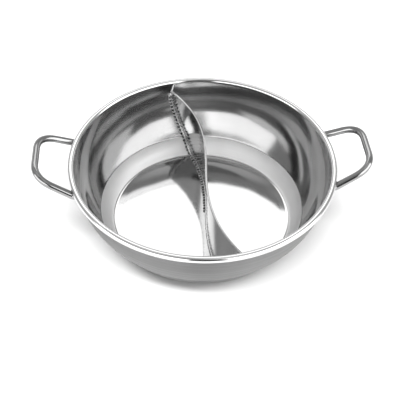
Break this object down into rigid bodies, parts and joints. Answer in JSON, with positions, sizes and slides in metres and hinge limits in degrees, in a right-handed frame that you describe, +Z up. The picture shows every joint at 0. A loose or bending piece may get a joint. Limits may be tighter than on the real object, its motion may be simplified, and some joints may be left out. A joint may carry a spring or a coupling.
{
  "type": "divided hot pot pan",
  "caption": "Round stainless steel hot pot pan with a flared wall, a rolled rim, an S-shaped upright divider welded inside and bent rod handles at the sides.",
  "frame": {"origin": "middle of the pan's base, on the surface it stands on", "axes": "+X through the middle of the right handle, +Z up out of the pan, +Y away from the viewer along the divider"},
  "size_m": [0.375, 0.3, 0.104],
  "materials": {
    "pan": "polished inside, satin outside",
    "divider": "polished sheet",
    "weld": "rippled weld, brushed clean in front",
    "handle": "polished rod"
  },
  "bodies": {
    "root": {"pan_body": "pan", "divider": "divider", "divider_weld": "weld", "handle_right": "handle", "handle_left": "handle"}
  },
  "joints": []
}
